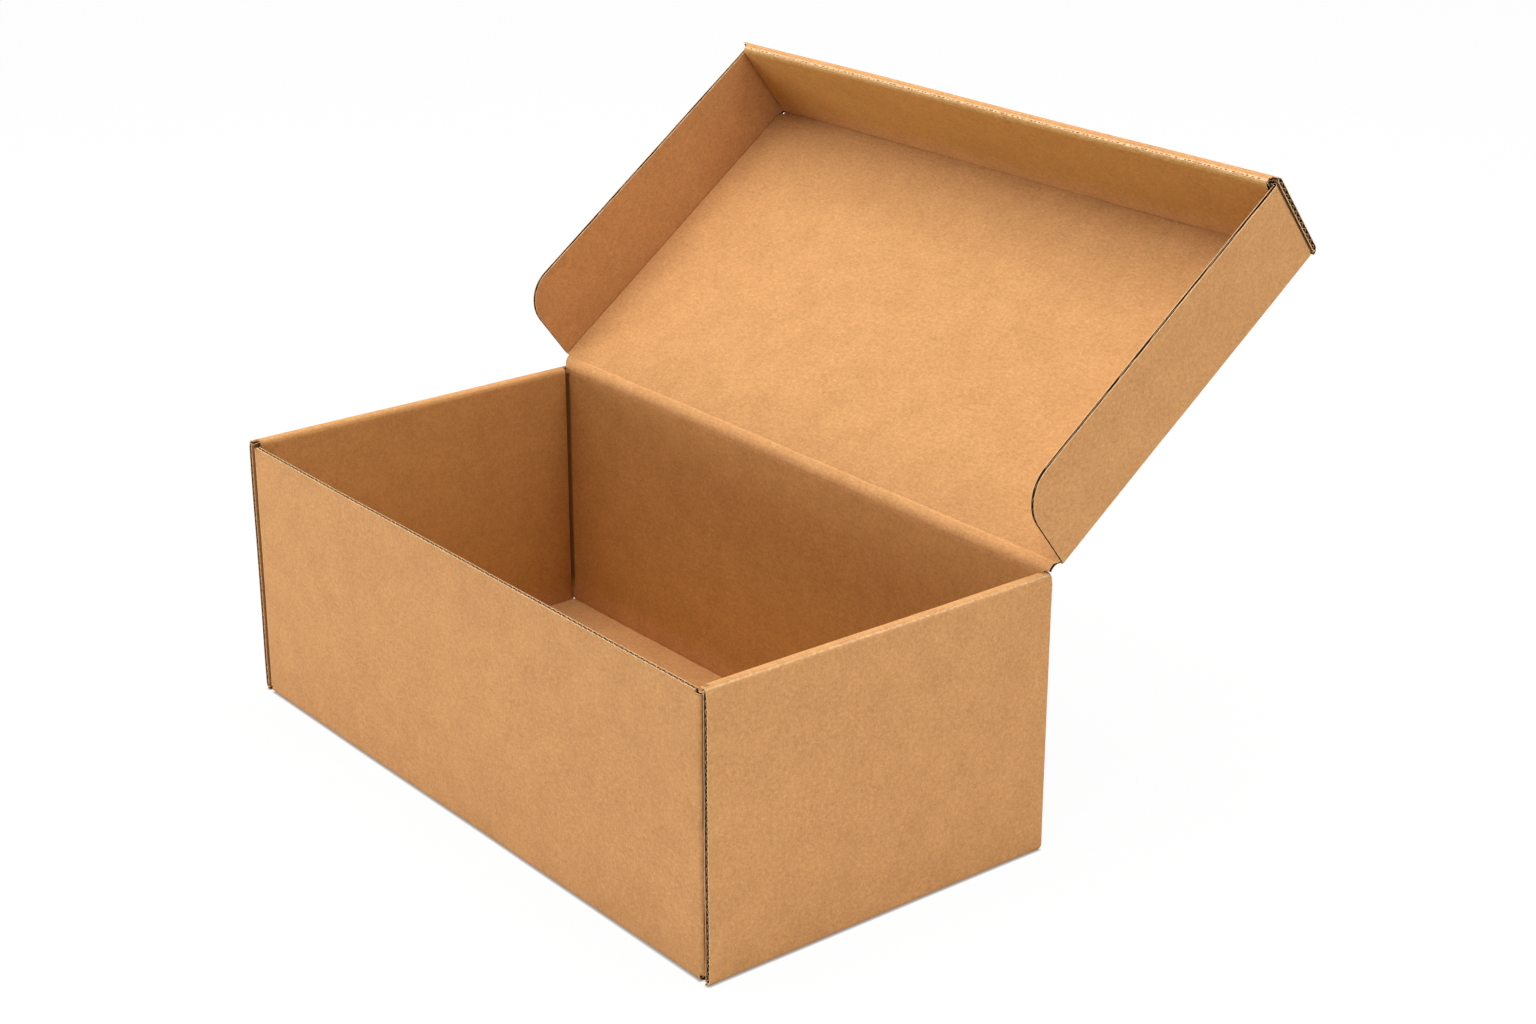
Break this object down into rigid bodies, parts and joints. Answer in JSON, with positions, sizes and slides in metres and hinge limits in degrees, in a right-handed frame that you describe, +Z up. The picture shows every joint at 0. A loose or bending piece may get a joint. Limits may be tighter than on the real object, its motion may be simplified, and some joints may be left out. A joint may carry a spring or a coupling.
{
  "type": "open cardboard box",
  "caption": "Hinged-lid corrugated carton folded from one sheet: tray with rolled side walls and captured corner flaps, lid with rounded wings and a rolled front that close over it.",
  "frame": {"origin": "centre of the tray's underside, on the surface the box stands on", "axes": "+X along the box's width, +Y from the front wall to the hinged back wall, +Z up"},
  "size_m": [0.3362, 0.3055, 0.2592],
  "materials": {
    "kraft_board": "matt uncoated brown kraft"
  },
  "bodies": {
    "tray": {"tray": "kraft_board"},
    "lid": {"lid": "kraft_board"}
  },
  "joints": [
    {"name": "lid_hinge", "type": "hinge", "parent": "tray", "child": "lid", "pos_m": [0, 0.08315, 0.12115], "axis": [1, 0, 0], "range_deg": [-37, 143]}
  ]
}
